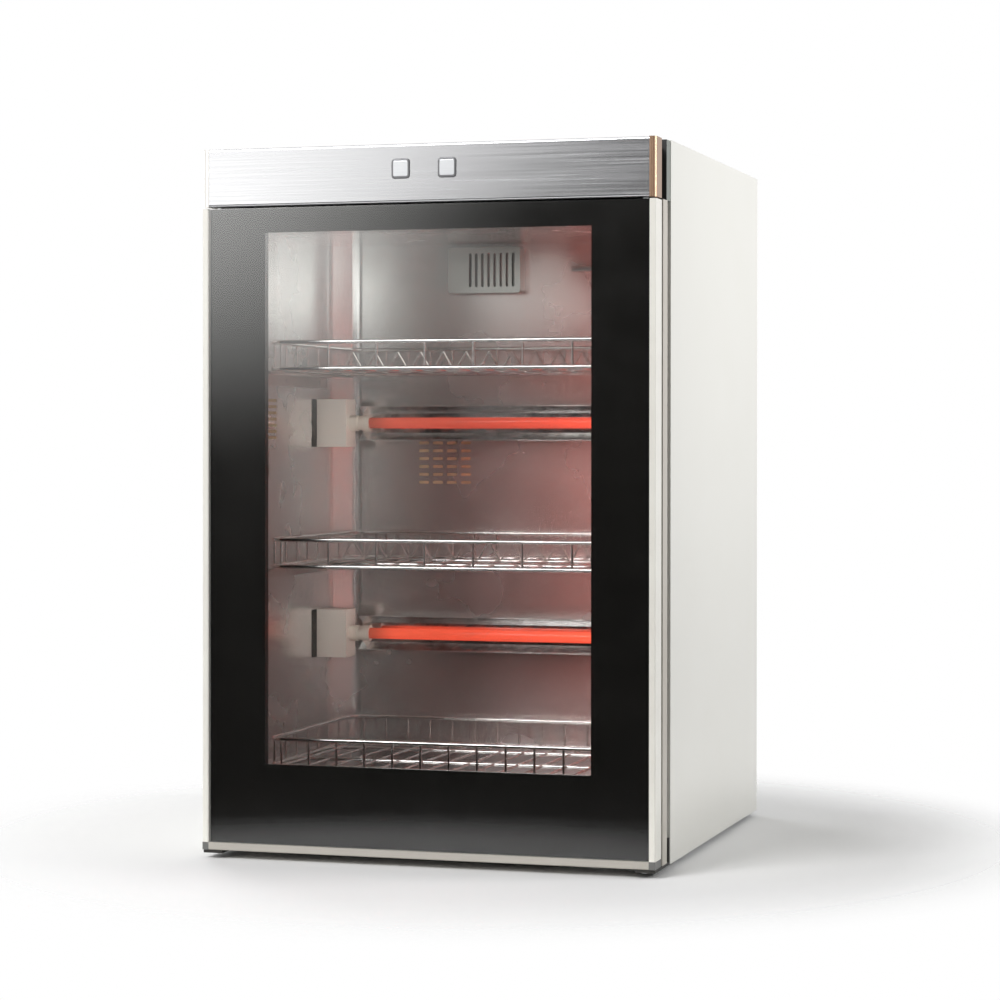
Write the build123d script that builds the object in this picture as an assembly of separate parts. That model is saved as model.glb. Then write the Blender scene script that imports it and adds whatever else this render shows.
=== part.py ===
from build123d import *
import os
from math import radians, tan

# Dish sterilizer cabinet. Millimetres, +Z up, front facing -Y, +X to the right of someone facing the front.
# The origin is under the middle of the cabinet, on the floor that its feet stand on.
# "Depth" is always counted backwards from the frontmost plane, the faces of the push buttons.

# ---------------------------------------------------------------- overall
cabinet_width = 430.0
cabinet_depth = 420.0        # button faces to the heads of the rear screws
casing_height = 648.0        # underside of the base pan to the top face of the top cover
foot_height = 5.0
seat = 0.3                   # gap left between a moving or loosely laid piece and its neighbour

# ---------------------------------------------------------------- sheet and plastic walls
casing_sheet = 1.0
frame_sheet = 1.2
liner_sheet = 1.0
skin_sheet = 0.8
carrier_wall = 2.5

# ---------------------------------------------------------------- front to back
skin_setback = 1.0           # buttons stand this far out of the panel skin and the glass
trim_setback = 0.5
door_thickness = 20.0        # glass face to the back of the door
gasket_gap = 7.0             # back of the door to the front frame
frame_return = 16.0          # visible beige side of the front frame
shadow_groove = 10.0         # dark groove between the front frame and the casing
chamber_depth = 251.0        # casing front edge to the chamber's back wall

# ---------------------------------------------------------------- control panel
panel_height = 53.0
panel_drop = 2.0             # top cover to the top of the panel
end_cap_width = 6.0
end_cap_radius = 4.5
skin_return = 7.0            # how far the skin folds back at its long edges
skin_edge_radius = 2.2       # outside of the bends at its long edges
neck_inset = 6.0             # the dark neck behind the panel, seen from the side
neck_drop = 5.0              # the same neck, seen from above and below
neck_depth = 19.0
button_width = 17.0
button_tall = 17.5
button_radius = 3.0
button_edge_radius = 0.6
button_spacing = 44.0
button_rise = 30.5           # middle of the buttons above the panel's lower edge
button_travel = 2.0
button_flange = 2.0          # how far the flange behind the panel stands out of the button
button_flange_thickness = 1.6
stem_radius = 2.5
stem_length = 7.8
switch_size = 14.0
switch_depth = 6.4
switch_wall = 1.4            # closed end of the switch's bore
spring_radius = 4.2
spring_wire = 0.5
spring_coils = 4
board_width = 96.0
board_height = 34.0
board_thickness = 1.6
board_post_radius = 3.0
board_post_inset = 5.0
board_drop = 4.0             # middle of the buttons to the middle of the board
board_part_place = 28.0
relay_width = 20.0
relay_height = 15.0
relay_depth = 12.0
capacitor_radius = 6.0
capacitor_length = 11.0

# ---------------------------------------------------------------- door
door_gap = 1.5               # control panel to the door's upper edge
side_trim = 6.0
bottom_trim = 7.0
glass_thickness = 4.0
print_thickness = 0.4
print_inset = 0.3
window_width = 310.0
window_above_edge = 73.0     # clear window's lower edge above the glass's lower edge
window_below_edge = 22.5
frame_window_margin = 2.0    # the door frame's window is this much wider than the printed one
pane_thickness = 3.2
pane_lap = 6.0
trim_bevel = 0.8
trim_lip = 2.2               # thickness of the bottom trim's front lip
corner_cap_length = 20.0
clip_length = 20.0
clip_width = 12.0
clip_thickness = 1.6
clip_lap = 3.5               # clip over the inner pane
clip_rivet_radius = 3.0
gasket_side_margin = 12.0    # door's side to the gasket
gasket_end_margin = 6.0      # door's upper and lower edge to the gasket
gasket_width = 10.0
gasket_foot = 2.2            # thickness of the gasket's foot
gasket_bulb_width = 8.0
magnet_width = 6.0
magnet_thickness = 2.0
magnet_wall = 1.0            # rubber in front of the magnet strip

# ---------------------------------------------------------------- hinge
hinge_inset = 12.0           # door's side to the hinge axis
hinge_depth = 11.0           # the hinge axis, counted from the frontmost plane
pin_radius = 2.5
pin_clearance = 0.05
pin_head_radius = 3.2
pin_head = 1.5
pin_reach = 14.0             # pin inside the door
bracket_sheet = 2.5
bracket_clearance = 0.5
bracket_width = 19.0
bracket_tab = 24.0           # height of the tab that bolts to the front frame
bracket_arm_rise = 9.0
bracket_foot_depth = 14.0

# ---------------------------------------------------------------- front frame and casing
frame_side_inset = 0.5       # front frame to the casing's side face
mouth_side = 21.5            # casing's side face to the frame's mouth
mouth_bottom = 33.5          # the frame's lower edge to the mouth
mouth_top = 18.0
panel_return = 11.0          # flanges folded inwards on the side panels
cover_flange = 15.0          # flanges folded down from the top cover
pan_flange = 20.0            # flanges folded up from the base pan
rear_cover_margin = 2.0
foot_radius = 13.0
foot_taper = 1.0
foot_side_inset = 40.0
foot_end_inset = 41.0
screw_head_radius = 3.2
screw_head = 1.6
screw_radius = 1.4
screw_length = 7.0
screw_hole_radius = 1.6
rear_screw_rows = 4
louvre_length = 70.0
louvre_height = 5.0
louvre_pitch = 12.0
louvre_rows = 8
louvre_column = 105.0        # middle of the cover to the middle of a column of louvres
louvre_top = 60.0            # top of the cover to the first louvre
slot_roundness = 0.45        # end radius of a slot, as a share of its height

# ---------------------------------------------------------------- chamber
chamber_side = 12.0          # casing's side face to the chamber wall's inner face
mouth_step_bottom = 3.0      # chamber floor below the mouth's lower edge
mouth_step_top = 3.0
corner_bevel = 23.0
bend_radius = 14.0           # inside of the bends at both edges of a bevel
wall_slot_length = 34.0
wall_slot_height = 3.0
wall_slot_pitch = 6.0
wall_slot_rows = 7
wall_slot_depth = 132.0      # middle of the slots, counted from the frontmost plane
wall_slot_level = 405.0      # middle of the slots above the floor under the feet
back_slot_length = 11.0
back_slot_height = 3.0
back_slot_columns = 4
back_slot_rows = 6
back_slot_pitch_x = 15.0
back_slot_pitch_z = 8.0
back_slot_middle = -85.0
back_slot_level = 362.0
rear_wool = 30.0
rear_wool_width = 350.0
top_wool = 10.0

# ---------------------------------------------------------------- racks and their rails
rack_width = 360.0
rack_front = 70.0            # depth of the rack's front wire
rack_length = 218.0
rack_height = 25.0
rack_levels = (78.5, 266.0, 451.5)       # lower, middle, upper
rack_corner_radius = 12.0
rack_wire = 2.0              # radius of the frame wires
floor_wire = 1.4
floor_pitch = 24.0
upright_wire = 1.2
wide_upright_pitch = 48.0
close_upright_pitch = 27.0
cross_wire_inset = 62.0
comb_height = 20.0
rail_width = 30.0
rail_sheet = 1.5
rail_leg = 12.0
rail_front_gap = 8.0
rail_back_gap = 30.0
rack_travel = 40.0

# ---------------------------------------------------------------- heater tubes
tube_levels = (190.0, 402.0)             # lower, upper
tube_depth = 264.0
tube_radius = 5.5
tube_wall = 1.2
tube_half_length = 158.0
filament_radius = 1.6
cap_radius = 8.0
cap_collar = 8.0
cap_neck = 4.0
cap_neck_radius = 6.9
cap_body = 22.0
cap_clearance = 0.1
bracket_box_width = 32.0
bracket_box_height = 48.0
bracket_box_front = 250.0
bracket_box_depth = 26.0
bracket_box_sheet = 1.2
reflector_back = 18.0        # tube axis to the reflector's flat
reflector_flat = 10.0        # half the flat's height
reflector_lip = 7.0
reflector_forward = 12.0
reflector_sheet = 0.8
reflector_end_gap = 6.0
standoff_radius = 4.0
standoff_place = 100.0

# ---------------------------------------------------------------- vent cover, probe, ozone generator
vent_middle = -38.0
vent_width = 76.0
vent_height = 46.0
vent_drop = 4.0              # chamber ceiling to the vent cover's top
vent_depth = 16.0
vent_sheet = 1.2
vent_slots = 8
vent_slot_width = 3.0
vent_slot_margin = 6.0       # above and below the slots
vent_slot_left = 20.0        # blank strips beside the slots
vent_slot_right = 4.0
vent_radius = 3.0
probe_start = 52.0
probe_length = 64.0
probe_radius = 3.0
probe_drop = 27.0
probe_standoff = 8.0
probe_clip = 5.0
ozone_margin = 6.0           # the generator is this much smaller than the vent cover
ozone_depth = 28.0

# ---------------------------------------------------------------- electronics and wiring
plate_flange = 12.0
terminal_place = 148.0
terminal_width = 36.0
terminal_depth = 22.0
terminal_height = 16.0
wire_radius = 2.0
wire_inset = 24.0            # casing's side face to the vertical wires
wire_depth = 325.0
wire_lift = 4.5              # wires above the electronics plate
wire_clearance = 0.4
cord_cup_place = 150.0
cord_cup_level = 60.0
cord_cup_size = 44.0
cord_cup_depth = 14.0
cord_cup_wall = 1.6
cord_cup_lip = 3.0
cord_cup_lip_thickness = 1.2
gland_bore = 4.0
gland_body = 6.5
gland_flange = 9.0
gland_flange_thickness = 3.0
gland_nose = 7.0
gland_nut = 4.4

# ---------------------------------------------------------------- worked out from the above
half_width = cabinet_width / 2
base_z = foot_height
top_z = base_z + casing_height
panel_top_z = top_z - panel_drop
panel_bottom_z = panel_top_z - panel_height
button_z = panel_bottom_z + button_rise
door_top_z = panel_bottom_z - door_gap
door_bottom_z = base_z + bracket_sheet + bracket_clearance
glass_bottom_z = door_bottom_z + bottom_trim
window_z = (glass_bottom_z + window_above_edge, door_top_z - window_below_edge)

door_back = skin_setback + door_thickness
frame_face = door_back + gasket_gap
frame_return_end = frame_face + frame_return
casing_front = frame_return_end + shadow_groove
chamber_back = casing_front + chamber_depth
rear_face = cabinet_depth - screw_head
panel_back = rear_face - casing_sheet    # side panels and top cover end here, under the rear cover

glass_half = half_width - side_trim
frame_half = half_width - frame_side_inset
mouth_half = half_width - mouth_side
frame_z = (base_z + bracket_sheet, panel_bottom_z)
mouth_z = (frame_z[0] + mouth_bottom, frame_z[1] - mouth_top)
chamber_half = half_width - chamber_side
chamber_z = (mouth_z[0] - mouth_step_bottom, mouth_z[1] + mouth_step_top)
plate_z = chamber_z[1] + liner_sheet + seat + top_wool + seat
hinge_x = half_width - hinge_inset


def back(depth):
    """Y of a plane this far behind the frontmost plane."""
    return depth - cabinet_depth / 2


def block(x, depth, z):
    """A box between (low, high) pairs of x, depth and z."""
    centre = (sum(x) / 2, back(sum(depth) / 2), sum(z) / 2)
    return Pos(*centre) * Box(x[1] - x[0], depth[1] - depth[0], z[1] - z[0])


def rod(start, end, radius):
    """A round bar between two (x, depth, z) points."""
    foot = Vector(start[0], back(start[1]), start[2])
    tip = Vector(end[0], back(end[1]), end[2])
    placed = Plane(origin=foot, z_dir=tip - foot)
    return placed * Cylinder(radius, (tip - foot).length, align=(Align.CENTER, Align.CENTER, Align.MIN))


def bar(x, depth, z, radius):
    """A round bar along whichever of x, depth and z is a (low, high) pair."""
    ends = [[place[i] if isinstance(place, tuple) else place for place in (x, depth, z)] for i in (0, 1)]
    return rod(*ends, radius)


def facing(depth):
    """The plane at this depth, seen from the front: x to the right, y upwards."""
    return Plane(origin=(0, back(depth), 0), x_dir=(1, 0, 0), z_dir=(0, -1, 0))


def tablet(x_mid, z_mid, width, height, radius, depth):
    """A plate with rounded corners, seen from the front, between two depths."""
    face = facing(depth[1]) * Pos(x_mid, z_mid) * RectangleRounded(width, height, radius)
    return extrude(face, amount=depth[1] - depth[0], dir=(0, -1, 0))


def slot(x_mid, z_mid, width, height, depth):
    """A cutter with almost fully rounded ends."""
    return tablet(x_mid, z_mid, width, height, slot_roundness * min(width, height), depth)


def panel(rect, depth):
    """A plate seen from the front; rect is (half width, low z, high z)."""
    return block((-rect[0], rect[0]), depth, (rect[1], rect[2]))


def surround(x_mid, z_mid, width, height, depth):
    """A box about a middle point, seen from the front."""
    x = (x_mid - width / 2, x_mid + width / 2)
    return block(x, depth, (z_mid - height / 2, z_mid + height / 2))


def ring(outer, inner, depth):
    """A rectangular ring seen from the front."""
    return panel(outer, depth) - panel(inner, depth)


def shrink(rect, amount):
    """The rectangle with each edge moved inwards."""
    return (rect[0] - amount, rect[1] + amount, rect[2] - amount)


def on_both_sides(piece):
    """The piece and its mirror image across the cabinet."""
    return [piece, mirror(piece, about=Plane.YZ)]


def group(pieces):
    """Separate solids kept together in one node."""
    return Compound([solid for piece in pieces for solid in piece.solids()])


def evenly(middle, count, pitch):
    """Places in a row about the middle."""
    return [middle + pitch * (i - (count - 1) / 2) for i in range(count)]


def spread(low, high, pitch):
    """Places from low to high, both included, as near to the pitch as fits."""
    gaps = max(1, round((high - low) / pitch))
    return [low + (high - low) * i / gaps for i in range(gaps + 1)]


# ================================================================ casing
rear_return = (panel_back - casing_sheet, panel_back)
front_return = (casing_front, casing_front + casing_sheet)
return_inner = half_width - panel_return
rear_screw_x = half_width - panel_return / 2
rear_screw_z = spread(base_z + pan_flange, top_z - cover_flange, casing_height / rear_screw_rows)
foot_x = half_width - foot_side_inset
foot_depths = (casing_front + foot_end_inset, panel_back - foot_end_inset)


def rear_screw_places():
    return [(side * rear_screw_x, z) for side in (-1, 1) for z in rear_screw_z]


def foot_places():
    return [(side * foot_x, depth) for side in (-1, 1) for depth in foot_depths]


def side_panel():
    """The right-hand side: one sheet with a flange folded inwards at the front and at the rear."""
    z = (base_z + casing_sheet, top_z - casing_sheet)
    sheet = block((half_width - casing_sheet, half_width), (casing_front, panel_back), (base_z, z[1]))
    front = block((return_inner, half_width), front_return, z)
    rear = block((return_inner, half_width), rear_return, z)
    whole = sheet + front + rear
    for z_screw in rear_screw_z:
        whole -= bar(rear_screw_x, rear_return, z_screw, screw_hole_radius)
    return whole


def top_cover():
    z = (top_z - casing_sheet - cover_flange, top_z - casing_sheet)
    inside = half_width - casing_sheet
    plate = block((-half_width, half_width), (casing_front, rear_face), (z[1], top_z))
    front = block((-return_inner, return_inner), front_return, z)
    rear = block((-return_inner, return_inner), rear_return, z)
    flange = block((inside - casing_sheet, inside), (front_return[1], rear_return[0]), z)
    whole = plate + front + rear
    for side in on_both_sides(flange):
        whole += side
    return whole


def base_pan():
    z = (base_z + casing_sheet, base_z + casing_sheet + pan_flange)
    inside = half_width - casing_sheet
    plate = block((-inside, inside), (casing_front, panel_back), (base_z, z[0]))
    front = block((-return_inner, return_inner), front_return, z)
    rear = block((-return_inner, return_inner), rear_return, z)
    flange = block((inside - casing_sheet, inside), (front_return[1], rear_return[0]), z)
    whole = plate + front + rear
    for side in on_both_sides(flange):
        whole += side
    for x, depth in foot_places():
        whole -= bar(x, depth, (base_z, z[0]), screw_hole_radius)
    return whole


def rear_cover():
    rect = (half_width - rear_cover_margin, base_z + rear_cover_margin, top_z - rear_cover_margin)
    depth = (panel_back, rear_face)
    whole = panel(rect, depth)
    whole -= surround(cord_cup_place, cord_cup_level, cord_cup_size, cord_cup_size, depth)
    louvres = []
    for side in (-1, 1):
        for row in range(louvre_rows):
            z = rect[2] - louvre_top - row * louvre_pitch
            louvres.append(slot(side * louvre_column, z, louvre_length, louvre_height, depth))
    screw_holes = [bar(x, depth, z, screw_hole_radius) for x, z in rear_screw_places()]
    return whole - louvres - screw_holes


def casing_screws():
    """Pan-head screws: through the rear cover, and up through each foot into the base pan."""
    screws = []
    for x, z in rear_screw_places():
        head = bar(x, (rear_face, cabinet_depth), z, screw_head_radius)
        screws.append(head + bar(x, (rear_face - screw_length, rear_face), z, screw_radius))
    seat_z = foot_height / 2
    for x, depth in foot_places():
        head = bar(x, depth, (seat_z - screw_head, seat_z), screw_head_radius)
        screws.append(head + bar(x, depth, (seat_z, seat_z + screw_length), screw_radius))
    return group(screws)


def rubber_feet():
    feet = []
    for x, depth in foot_places():
        pad = Cone(foot_radius - foot_taper, foot_radius, foot_height)
        pad = Pos(x, back(depth), foot_height / 2) * pad
        pad -= bar(x, depth, (0, foot_height / 2), screw_head_radius + seat)
        pad -= bar(x, depth, (0, foot_height), screw_hole_radius)
        feet.append(pad)
    return group(feet)


def front_frame():
    """A pressed ring around the chamber's mouth, its section open outwards in the shadow groove."""
    outer = (frame_half, *frame_z)
    mouth = (mouth_half, *mouth_z)
    reveal = (mouth_half + frame_sheet, mouth_z[0] - frame_sheet, mouth_z[1] + frame_sheet)
    back_plate = (chamber_half + casing_sheet + panel_return / 2, frame_z[0] + bracket_tab / 4, frame_z[1])
    whole = ring(outer, mouth, (frame_face, casing_front))
    whole -= ring(shrink(outer, frame_sheet), reveal, (frame_face + frame_sheet, frame_return_end))
    whole -= ring(outer, reveal, (frame_return_end, casing_front - frame_sheet))
    whole -= ring(outer, back_plate, (casing_front - frame_sheet, casing_front))
    return whole


# ================================================================ chamber
def plan_outline(grow):
    """The chamber seen from above, with bevelled back corners, grown outwards by a wall's thickness."""
    x = chamber_half + grow
    corner = grow * tan(radians(22.5))
    deep = back(chamber_back + grow)
    side = back(chamber_back - corner_bevel) + corner
    inner = chamber_half - corner_bevel + corner
    front = back(casing_front)
    right = [(x, front), (x, side), (inner, deep)]
    left = [(-px, py) for px, py in reversed(right)]
    outline = make_face(Polyline(*right, *left, close=True))
    bends = outline.vertices().sort_by(Axis.Y)[2:]
    return fillet(bends, bend_radius + grow)


def plan_slab(grow, z):
    return Pos(0, 0, z[0]) * extrude(plan_outline(grow), amount=z[1] - z[0], dir=(0, 0, 1))


def vent_rect():
    top = chamber_z[1] - vent_drop
    return (vent_middle - vent_width / 2, vent_middle + vent_width / 2), (top - vent_height, top)


def vent_slot_places():
    left = vent_middle - vent_width / 2 + vent_slot_left
    pitch = (vent_width - vent_slot_left - vent_slot_right) / vent_slots
    return [left + pitch * (i + 0.5) for i in range(vent_slots)]


def vent_slot_cutters(depth):
    middle = sum(vent_rect()[1]) / 2
    height = vent_height - 2 * vent_slot_margin
    return [slot(x, middle, vent_slot_width, height, depth) for x in vent_slot_places()]


def liner_wrap():
    """Side walls, bevelled corners and back wall, bent from one polished sheet."""
    z = (chamber_z[0] - liner_sheet, chamber_z[1] + liner_sheet)
    whole = plan_slab(liner_sheet, z) - plan_slab(0, z)
    side_slot = (wall_slot_depth - wall_slot_length / 2, wall_slot_depth + wall_slot_length / 2)
    for level in evenly(wall_slot_level, wall_slot_rows, wall_slot_pitch):
        height = (level - wall_slot_height / 2, level + wall_slot_height / 2)
        cutter = block((chamber_half, chamber_half + liner_sheet), side_slot, height)
        whole -= on_both_sides(cutter)
    wall = (chamber_back, chamber_back + liner_sheet)
    for level in evenly(back_slot_level, back_slot_rows, back_slot_pitch_z):
        for x in evenly(back_slot_middle, back_slot_columns, back_slot_pitch_x):
            whole -= slot(x, level, back_slot_length, back_slot_height, wall)
    whole -= vent_slot_cutters(wall)
    for level in tube_levels:
        hole = bar(wire_x, (chamber_back - corner_bevel, wire_depth), level, wire_radius + wire_clearance)
        whole -= on_both_sides(hole)
    return whole


def liner_ceiling():
    return plan_slab(0, (chamber_z[1], chamber_z[1] + liner_sheet))


def liner_floor():
    return plan_slab(0, (chamber_z[0] - liner_sheet, chamber_z[0]))


def side_insulation():
    x = (chamber_half + liner_sheet + seat, half_width - 2 * casing_sheet - seat)
    pad = block(x, (front_return[1] + seat, chamber_back - corner_bevel), chamber_z)
    return group(on_both_sides(pad))


def rear_insulation():
    """A wool pad behind the back wall, cut out around the ozone generator."""
    depth = (chamber_back + liner_sheet + seat, chamber_back + liner_sheet + seat + rear_wool)
    pad = block((-rear_wool_width / 2, rear_wool_width / 2), depth, chamber_z)
    x, z = vent_rect()
    return pad - block(x, depth, z)


def top_insulation():
    z = (chamber_z[1] + liner_sheet + seat, chamber_z[1] + liner_sheet + seat + top_wool)
    x = return_inner - seat
    return block((-x, x), (front_return[1] + seat, chamber_back), z)


def rack_rails(level):
    """Two angle rails riveted to the side walls; the rack's lowest wires slide on them."""
    top = level - rack_wire - seat
    depth = (casing_front + rail_front_gap, chamber_back - rail_back_gap)
    ledge = block((chamber_half - rail_width, chamber_half), depth, (top - rail_sheet, top))
    leg = block((chamber_half - rail_sheet, chamber_half), depth, (top - rail_leg, top))
    return group(on_both_sides(ledge + leg))


# ================================================================ racks
def rack_loop(level):
    """A closed wire ring with rounded corners, seen from above."""
    width = rack_width - 2 * rack_wire
    middle = back(rack_front + rack_length / 2)
    path = RectangleRounded(width, rack_length, rack_corner_radius).wire()
    start = Plane(origin=path @ 0, z_dir=path % 0)
    loop = sweep(start * Circle(rack_wire), path=path)
    return Pos(0, middle, level) * loop


def rack_wires(level, front_pitch):
    """The straight wires of a rack: floor, cross wires and uprights."""
    half = rack_width / 2 - rack_wire
    front = rack_front
    rear = rack_front + rack_length
    straight = half - rack_corner_radius
    top = level + rack_height
    wires = []
    for x in spread(-straight, straight, floor_pitch):
        wires.append(bar(x, (front, rear), level, floor_wire))
        wires.append(bar(x, rear, (level, top), upright_wire))
    for depth in (front + cross_wire_inset, rear - cross_wire_inset):
        wires.append(bar((-half, half), depth, level, rack_wire))
    for x in spread(-straight, straight, front_pitch):
        wires.append(bar(x, front, (level, top), upright_wire))
    for depth in spread(front + rack_corner_radius, rear - rack_corner_radius, close_upright_pitch):
        for x in (-half, half):
            wires.append(bar(x, depth, (level, top), upright_wire))
    return wires


def rack_comb(level):
    """A zigzag of slanting wires that keeps bowls and plates apart."""
    straight = rack_width / 2 - rack_wire - rack_corner_radius
    depth = rack_front + rack_length - cross_wire_inset
    places = spread(-straight, straight, floor_pitch)
    wires = []
    for low, high in zip(places, places[1:]):
        tip = ((low + high) / 2, depth, level + comb_height)
        wires.append(rod((low, depth, level), tip, upright_wire))
        wires.append(rod((high, depth, level), tip, upright_wire))
        wires.append(Pos(tip[0], back(depth), tip[2]) * Sphere(upright_wire))
    return wires


def rack(level, front_pitch, with_comb):
    wires = [rack_loop(level + rack_height)] + rack_wires(level, front_pitch)
    if with_comb:
        wires += rack_comb(level)
    return rack_loop(level).fuse(*wires)


# ================================================================ heater tubes
bracket_box_x = (chamber_half - bracket_box_width, chamber_half)
cap_inner_x = tube_half_length - cap_collar
wire_x = half_width - wire_inset


def heater_tube(level):
    tube = bar((-tube_half_length, tube_half_length), tube_depth, level, tube_radius)
    return tube - bar((-tube_half_length, tube_half_length), tube_depth, level, tube_radius - tube_wall)


def filament(level):
    reach = tube_half_length + seat
    return bar((-reach, reach), tube_depth, level, filament_radius)


def tube_end_caps():
    """Ceramic caps on the tubes: a collar, a groove and a body that goes into the bracket."""
    caps = []
    for level in tube_levels:
        groove = (tube_half_length, tube_half_length + cap_neck)
        collar = bar((cap_inner_x, groove[0]), tube_depth, level, cap_radius)
        neck = bar(groove, tube_depth, level, cap_neck_radius)
        body = bar((groove[1], groove[1] + cap_body - cap_neck), tube_depth, level, cap_radius)
        cap = collar + neck + body
        cap -= bar((cap_inner_x, groove[0] + seat), tube_depth, level, tube_radius + cap_clearance)
        caps += on_both_sides(cap)
    return group(caps)


def tube_brackets():
    """Folded metal boxes on the side walls, open towards the back, that hold the ends of the tubes."""
    boxes = []
    sheet = bracket_box_sheet
    x = bracket_box_x
    depth = (bracket_box_front, bracket_box_front + bracket_box_depth)
    for level in tube_levels:
        z = (level - bracket_box_height / 2, level + bracket_box_height / 2)
        hollow_x = (x[0] + sheet, x[1] - sheet)
        box = block(x, depth, z)
        box -= block(hollow_x, (depth[0] + sheet, depth[1]), (z[0] + sheet, z[1] - sheet))
        box -= bar((x[0], x[0] + sheet), tube_depth, level, cap_radius + cap_clearance)
        boxes += on_both_sides(box)
    return group(boxes)


def reflectors():
    """A polished trough behind each tube, on two standoffs from the back wall."""
    troughs = []
    half = bracket_box_x[0] - reflector_end_gap
    flat = tube_depth + reflector_back
    for level in tube_levels:
        inner = [
            (back(flat - reflector_forward), level - reflector_flat - reflector_lip),
            (back(flat), level - reflector_flat),
            (back(flat), level + reflector_flat),
            (back(flat - reflector_forward), level + reflector_flat + reflector_lip),
        ]
        line = Polyline(*[(y, z) for y, z in inner])
        section = trace(line, line_width=reflector_sheet)
        trough = extrude(Plane.YZ.offset(-half) * section, amount=2 * half)
        for x in (-standoff_place, standoff_place):
            trough += bar(x, (flat, chamber_back), level, standoff_radius)
        troughs.append(trough)
    return group(troughs)


# ================================================================ small fittings in the chamber
def ozone_vent_cover():
    x, z = vent_rect()
    depth = (chamber_back - vent_depth, chamber_back)
    size = (vent_width, vent_height)
    middle = (sum(x) / 2, sum(z) / 2)
    shell = tablet(*middle, *size, vent_radius, depth)
    hollow = (depth[0] + vent_sheet, depth[1])
    inside = [side - 2 * vent_sheet for side in size]
    shell -= tablet(*middle, *inside, vent_radius - vent_sheet, hollow)
    shell -= vent_slot_cutters((depth[0], hollow[0]))
    return shell


def temperature_probe():
    """A sensing bulb held off the back wall by two clips."""
    grip = probe_radius + vent_sheet / 2
    z = chamber_z[1] - probe_drop
    depth = chamber_back - probe_standoff
    bulb = bar((probe_start, probe_start + probe_length), depth, z, probe_radius)
    for x in (probe_start + 2 * probe_clip, probe_start + probe_length - 2 * probe_clip):
        bulb += surround(x, z, probe_clip, probe_clip / 2, (depth, chamber_back))
        bulb += bar((x - probe_clip / 2, x + probe_clip / 2), depth, z, grip)
    return bulb


def ozone_generator():
    """A module against the back of the chamber's wall, blowing through the slots under the vent cover."""
    x, z = vent_rect()
    case = block(
        (x[0] + ozone_margin, x[1] - ozone_margin),
        (chamber_back + liner_sheet, chamber_back + liner_sheet + ozone_depth),
        (z[0] + ozone_margin, z[1] - ozone_margin),
    )
    return case


# ================================================================ electronics
def electronics_plate():
    """A tray above the chamber that carries the terminal block and closes off the heat."""
    x = half_width - 2 * casing_sheet - seat
    depth = (front_return[1] + seat, rear_return[0] - seat)
    z = (plate_z, plate_z + casing_sheet)
    flange = block((x - casing_sheet, x), depth, (z[1], z[1] + plate_flange))
    whole = block((-x, x), depth, z)
    for side in on_both_sides(flange):
        whole += side
    hole = bar(wire_x, wire_depth, z, wire_radius + wire_clearance)
    whole -= on_both_sides(hole)
    return whole


def terminal_block():
    z = plate_z + casing_sheet
    x = (terminal_place - terminal_width / 2, terminal_place + terminal_width / 2)
    depth = (wire_depth - terminal_depth / 2, wire_depth + terminal_depth / 2)
    body = block(x, depth, (z, z + terminal_height))
    for place in evenly(terminal_place, 3, terminal_width / 3):
        body -= bar(place, wire_depth, (z + terminal_height / 2, z + terminal_height), wire_radius)
    return body


def wiring_harness():
    """Wires from the terminal block down behind the chamber, then in through its corners to the caps."""
    run_z = plate_z + casing_sheet + wire_lift
    cap_end = tube_half_length + cap_body
    low = min(tube_levels)
    sides = []
    for side in (-1, 1):
        x = side * wire_x
        block_side = terminal_place + side * terminal_width / 2
        harness = bar(x, wire_depth, (low, run_z), wire_radius)
        harness += bar((block_side, x), wire_depth, run_z, wire_radius)
        harness += Pos(x, back(wire_depth), run_z) * Sphere(wire_radius)
        harness += Pos(x, back(wire_depth), low) * Sphere(wire_radius)
        for level in tube_levels:
            harness += bar(x, (tube_depth, wire_depth), level, wire_radius)
            harness += bar((side * cap_end, x), tube_depth, level, wire_radius)
            harness += Pos(x, back(tube_depth), level) * Sphere(wire_radius)
        sides.append(harness)
    return group(sides)


def cord_entry_cup():
    """A plastic cup let into the rear cover, so that the cord's gland doesn't stand out."""
    middle = (cord_cup_place, cord_cup_level)
    bottom = rear_face - cord_cup_depth
    wall = cord_cup_wall
    lip_end = rear_face + cord_cup_lip_thickness
    outside = cord_cup_size + 2 * cord_cup_lip
    inside = cord_cup_size - 2 * wall
    cup = surround(*middle, cord_cup_size, cord_cup_size, (bottom, rear_face))
    cup += surround(*middle, outside, outside, (rear_face, lip_end))
    cup -= surround(*middle, inside, inside, (bottom + wall, lip_end))
    cup -= bar(middle[0], (bottom, bottom + wall), middle[1], gland_body + cap_clearance)
    return cup


def cable_gland():
    """Flange and nose outside the cup, threaded body and nut inside; the cord goes through its bore."""
    bottom = rear_face - cord_cup_depth
    floor = bottom + cord_cup_wall
    x, z = cord_cup_place, cord_cup_level
    nose_end = floor + gland_flange_thickness + gland_nose
    gland = bar(x, (bottom - gland_nut, bottom), z, gland_flange)
    gland += bar(x, (bottom, floor), z, gland_body)
    gland += bar(x, (floor, floor + gland_flange_thickness), z, gland_flange)
    gland += bar(x, (floor + gland_flange_thickness, nose_end), z, gland_body)
    gland -= bar(x, (bottom - gland_nut, nose_end), z, gland_bore)
    return gland


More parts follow.
